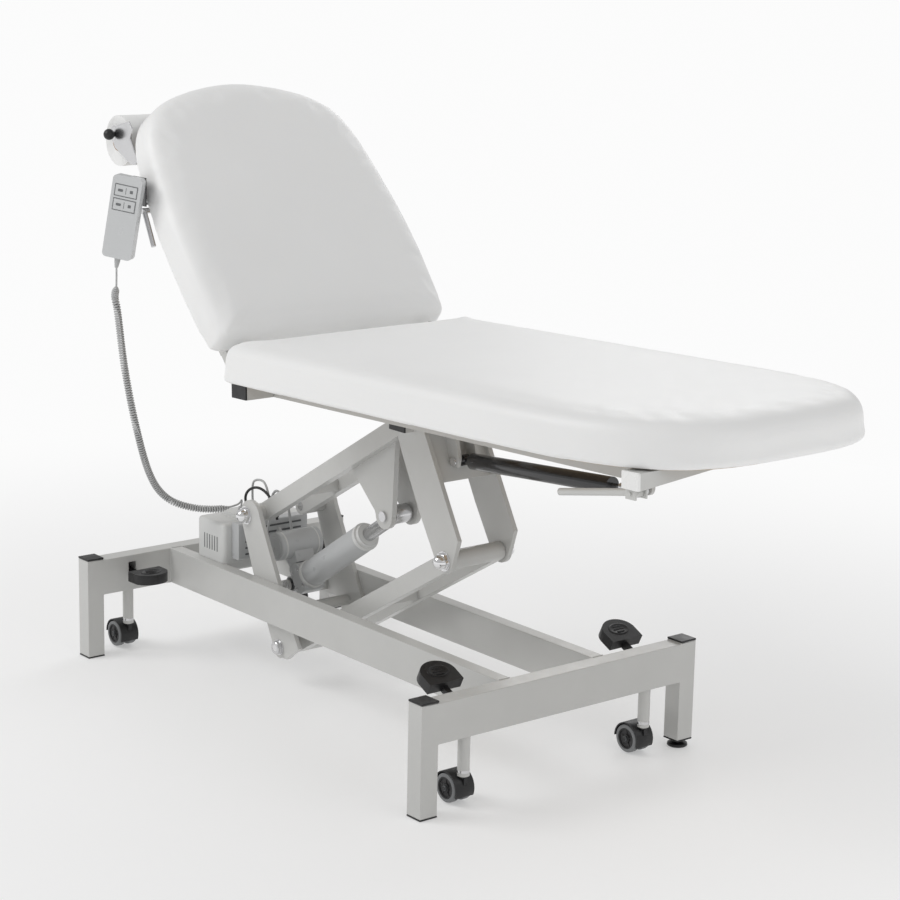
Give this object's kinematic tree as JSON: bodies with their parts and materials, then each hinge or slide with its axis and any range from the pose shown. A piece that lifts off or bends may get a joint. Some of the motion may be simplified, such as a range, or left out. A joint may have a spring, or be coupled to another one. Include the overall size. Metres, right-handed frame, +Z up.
{
  "type": "examination couch",
  "caption": "Height-adjustable padded examination couch on a painted steel base, with a raising backrest, hand control, paper roll holder and pedal-lowered casters.",
  "frame": {"origin": "on the floor under the middle of the steel base", "axes": "+X along the couch towards the foot end, +Y across it away from the hand control side, +Z up"},
  "size_m": [1.833, 0.7358, 1.2788],
  "materials": {
    "black_plastic": "matte",
    "black_rubber": "matte",
    "black_steel": "gloss",
    "bright_steel": "brushed",
    "brown_card": "matte",
    "chrome": "polished",
    "frame_paint": "satin",
    "grey_tread": "matte",
    "light_grey_plastic": "satin",
    "paper": "matte",
    "plywood": "raw",
    "silver_plastic": "satin",
    "vinyl": "soft sheen",
    "white_plastic": "satin"
  },
  "bodies": {
    "base": {"base_frame": "frame_paint", "leg_caps": "black_plastic", "pedal_axles": "bright_steel", "arm_base_plates": "frame_paint", "arm_shafts": "chrome", "actuator_rear_bracket": "frame_paint", "control_box": "white_plastic", "battery_pack": "light_grey_plastic", "control_cables": "black_rubber"},
    "levelling_foot": {"levelling_foot": "black_plastic"},
    "upper_arm": {"upper_arm": "frame_paint", "actuator_top_pin": "bright_steel"},
    "lower_arm": {"lower_arm": "frame_paint"},
    "actuator_rod": {"actuator_rod": "bright_steel"},
    "actuator_barrel": {"actuator_tube": "light_grey_plastic", "actuator_gearbox": "light_grey_plastic", "actuator_motor": "light_grey_plastic"},
    "lift_head": {"lift_head": "frame_paint", "head_stub_caps": "black_plastic", "head_shafts": "chrome"},
    "seat": {"seat_frame": "frame_paint", "seat_frame_caps": "black_plastic", "seat_board": "plywood", "seat_cushion": "vinyl", "seat_pins": "bright_steel", "tilt_lever_bracket": "frame_paint"},
    "tilt_lever": {"tilt_lever": "frame_paint"},
    "tilt_spring_cylinder": {"tilt_spring_cylinder": "black_steel"},
    "tilt_spring_rod": {"tilt_spring_rod": "bright_steel"},
    "backrest": {"back_frame": "frame_paint", "back_board": "plywood", "back_cushion": "vinyl", "roll_brackets": "bright_steel", "roll_bar": "black_plastic", "handset_hook": "black_steel", "handset_body": "silver_plastic", "handset_cable": "black_rubber"},
    "back_lever": {"back_lever": "bright_steel"},
    "paper_roll": {"roll_core": "brown_card", "paper_roll": "paper"},
    "back_spring_cylinder": {"back_spring_cylinder": "black_steel"},
    "back_spring_rod": {"back_spring_rod": "bright_steel"},
    "handset_key_upper": {"handset_key_upper": "silver_plastic"},
    "handset_key_lower": {"handset_key_lower": "silver_plastic"},
    "pedal_foot_near": {"pedal_foot_near": "black_plastic"},
    "caster_stem_foot_near": {"caster_stem_foot_near": "frame_paint"},
    "caster_fork_foot_near": {"caster_fork_foot_near": "black_plastic"},
    "caster_wheels_foot_near": {"caster_wheels_foot_near": "grey_tread"},
    "pedal_foot_far": {"pedal_foot_far": "black_plastic"},
    "caster_stem_foot_far": {"caster_stem_foot_far": "frame_paint"},
    "caster_fork_foot_far": {"caster_fork_foot_far": "black_plastic"},
    "caster_wheels_foot_far": {"caster_wheels_foot_far": "grey_tread"},
    "pedal_head_near": {"pedal_head_near": "black_plastic"},
    "caster_stem_head_near": {"caster_stem_head_near": "frame_paint"},
    "caster_fork_head_near": {"caster_fork_head_near": "black_plastic"},
    "caster_wheels_head_near": {"caster_wheels_head_near": "grey_tread"},
    "pedal_head_far": {"pedal_head_far": "black_plastic"},
    "caster_stem_head_far": {"caster_stem_head_far": "frame_paint"},
    "caster_fork_head_far": {"caster_fork_head_far": "black_plastic"},
    "caster_wheels_head_far": {"caster_wheels_head_far": "grey_tread"}
  },
  "joints": [
    {"name": "levelling_foot_screw", "type": "slide", "parent": "base", "child": "levelling_foot", "axis": [0, 0, 1], "range_m": [-0.01, 0.001]},
    {"name": "pedal_foot_near_press", "type": "hinge", "parent": "base", "child": "pedal_foot_near", "pos_m": [0.595, -0.232, 0.183], "axis": [0, -1, 0], "range_deg": [0, 26], "stiffness_Nm_per_rad": 20},
    {"name": "caster_foot_near_lift", "type": "slide", "parent": "base", "child": "caster_stem_foot_near", "axis": [0, 0, -1], "range_m": [0, 0.015]},
    {"name": "caster_foot_near_swivel", "type": "hinge", "parent": "caster_stem_foot_near", "child": "caster_fork_foot_near", "pos_m": [0.595, -0.232, 0.055], "axis": [0, 0, 1], "continuous": true},
    {"name": "caster_foot_near_roll", "type": "hinge", "parent": "caster_fork_foot_near", "child": "caster_wheels_foot_near", "pos_m": [0.569, -0.232, 0.031], "axis": [0, 1, 0], "continuous": true},
    {"name": "pedal_foot_far_press", "type": "hinge", "parent": "base", "child": "pedal_foot_far", "pos_m": [0.595, 0.232, 0.183], "axis": [0, -1, 0], "range_deg": [0, 26], "stiffness_Nm_per_rad": 20},
    {"name": "caster_foot_far_lift", "type": "slide", "parent": "base", "child": "caster_stem_foot_far", "axis": [0, 0, -1], "range_m": [0, 0.015]},
    {"name": "caster_foot_far_swivel", "type": "hinge", "parent": "caster_stem_foot_far", "child": "caster_fork_foot_far", "pos_m": [0.595, 0.232, 0.055], "axis": [0, 0, 1], "continuous": true},
    {"name": "caster_foot_far_roll", "type": "hinge", "parent": "caster_fork_foot_far", "child": "caster_wheels_foot_far", "pos_m": [0.569, 0.232, 0.031], "axis": [0, 1, 0], "continuous": true},
    {"name": "pedal_head_near_press", "type": "hinge", "parent": "base", "child": "pedal_head_near", "pos_m": [-0.595, -0.236, 0.183], "axis": [0, -1, 0], "range_deg": [0, 26], "stiffness_Nm_per_rad": 20, "springref_deg": 0.29},
    {"name": "caster_head_near_lift", "type": "slide", "parent": "base", "child": "caster_stem_head_near", "axis": [0, 0, -1], "range_m": [-0.015, 0]},
    {"name": "caster_head_near_swivel", "type": "hinge", "parent": "caster_stem_head_near", "child": "caster_fork_head_near", "pos_m": [-0.595, -0.236, 0.055], "axis": [0, 0, 1], "continuous": true},
    {"name": "caster_head_near_roll", "type": "hinge", "parent": "caster_fork_head_near", "child": "caster_wheels_head_near", "pos_m": [-0.621, -0.236, 0.031], "axis": [0, 1, 0], "continuous": true},
    {"name": "pedal_head_far_press", "type": "hinge", "parent": "base", "child": "pedal_head_far", "pos_m": [-0.595, 0.236, 0.183], "axis": [0, -1, 0], "range_deg": [0, 26], "stiffness_Nm_per_rad": 20, "springref_deg": 0.29},
    {"name": "caster_head_far_lift", "type": "slide", "parent": "base", "child": "caster_stem_head_far", "axis": [0, 0, -1], "range_m": [-0.015, 0]},
    {"name": "caster_head_far_swivel", "type": "hinge", "parent": "caster_stem_head_far", "child": "caster_fork_head_far", "pos_m": [-0.595, 0.236, 0.055], "axis": [0, 0, 1], "continuous": true},
    {"name": "caster_head_far_roll", "type": "hinge", "parent": "caster_fork_head_far", "child": "caster_wheels_head_far", "pos_m": [-0.621, 0.236, 0.031], "axis": [0, 1, 0], "continuous": true},
    {"name": "lift", "type": "hinge", "parent": "base", "child": "upper_arm", "pos_m": [-0.316, 0, 0.35], "axis": [0, -1, 0], "range_deg": [-20, 18], "stiffness_Nm_per_rad": 60000, "springref_deg": 0.61},
    {"name": "lower_arm_swing", "type": "hinge", "parent": "base", "child": "lower_arm", "pos_m": [-0.189, 0, 0.083], "axis": [0, -1, 0], "range_deg": [-20, 18]},
    {"name": "lift_head_level", "type": "hinge", "parent": "upper_arm", "child": "lift_head", "pos_m": [0.207, 0, 0.658], "axis": [0, -1, 0], "range_deg": [-18, 20]},
    {"name": "actuator_top_pivot", "type": "hinge", "parent": "upper_arm", "child": "actuator_rod", "pos_m": [0.088, 0, 0.424], "axis": [0, -1, 0], "range_deg": [-2.5, 2.5]},
    {"name": "actuator_stroke", "type": "slide", "parent": "actuator_rod", "child": "actuator_barrel", "axis": [-0.8357, 0, -0.5492], "range_m": [-0.057, 0.052]},
    {"name": "tilt", "type": "hinge", "parent": "lift_head", "child": "seat", "pos_m": [0.207, 0, 0.658], "axis": [0, -1, 0], "range_deg": [-2.1, 8], "stiffness_Nm_per_rad": 40000, "springref_deg": 0.06},
    {"name": "tilt_spring_pivot", "type": "hinge", "parent": "lift_head", "child": "tilt_spring_cylinder", "pos_m": [0.298, 0, 0.579], "axis": [0, -1, 0], "range_deg": [-2.8, 9.6]},
    {"name": "tilt_spring_stroke", "type": "slide", "parent": "tilt_spring_cylinder", "child": "tilt_spring_rod", "axis": [0.9967, 0, 0.0814], "range_m": [-0.004, 0.0135]},
    {"name": "tilt_lever_pull", "type": "hinge", "parent": "seat", "child": "tilt_lever", "pos_m": [1.06271, -0.262, 0.7062], "axis": [0, 1, 0], "range_deg": [0, 6], "stiffness_Nm_per_rad": 8, "springref_deg": 1.33},
    {"name": "backrest_tilt", "type": "hinge", "parent": "seat", "child": "backrest", "pos_m": [-0.10283, 0, 0.75402], "axis": [0, 1, 0], "range_deg": [-51.4, 22], "stiffness_Nm_per_rad": 10000, "springref_deg": 0.44, "deforming": ["handset_cable"]},
    {"name": "back_spring_pivot", "type": "hinge", "parent": "seat", "child": "back_spring_cylinder", "pos_m": [0.35319, 0.166, 0.65266], "axis": [0, 1, 0], "range_deg": [-2.6, 1.2]},
    {"name": "back_spring_stroke", "type": "slide", "parent": "back_spring_cylinder", "child": "back_spring_rod", "axis": [-1, 0, -0.002], "range_m": [-0.1, 0.043]},
    {"name": "back_lever_pull", "type": "hinge", "parent": "backrest", "child": "back_lever", "pos_m": [-0.41873, -0.26, 1.01389], "axis": [0, 1, 0], "range_deg": [0, 12], "stiffness_Nm_per_rad": 8},
    {"name": "paper_roll_spin", "type": "hinge", "parent": "backrest", "child": "paper_roll", "pos_m": [-0.59336, 0, 1.14331], "axis": [0, 1, 0], "continuous": true},
    {"name": "handset_key_upper_press", "type": "slide", "parent": "backrest", "child": "handset_key_upper", "axis": [-0.6428, 0.766, 0], "range_m": [0, 0.0012]},
    {"name": "handset_key_lower_press", "type": "slide", "parent": "backrest", "child": "handset_key_lower", "axis": [-0.6428, 0.766, 0], "range_m": [0, 0.0012]}
  ],
  "couplings": [
    {"joint": "caster_foot_near_lift", "follows": "pedal_foot_near_press", "m_per_rad": 0.032835},
    {"joint": "caster_foot_far_lift", "follows": "pedal_foot_far_press", "m_per_rad": 0.032835},
    {"joint": "caster_head_near_lift", "follows": "pedal_head_near_press", "m_per_rad": -0.032835},
    {"joint": "caster_head_far_lift", "follows": "pedal_head_far_press", "m_per_rad": -0.032835},
    {"joint": "lower_arm_swing", "follows": "lift", "ratio": 1},
    {"joint": "lift_head_level", "follows": "lift", "ratio": -1},
    {"joint": "actuator_top_pivot", "follows": "lift", "ratio": -0.0988},
    {"joint": "actuator_stroke", "follows": "lift", "m_per_rad": 0.1597},
    {"joint": "tilt_spring_pivot", "follows": "tilt", "ratio": 1.1553},
    {"joint": "tilt_spring_stroke", "follows": "tilt", "m_per_rad": 0.09095},
    {"joint": "back_spring_pivot", "follows": "backrest_tilt", "ratio": 0.0425},
    {"joint": "back_spring_stroke", "follows": "backrest_tilt", "m_per_rad": 0.10997}
  ]
}
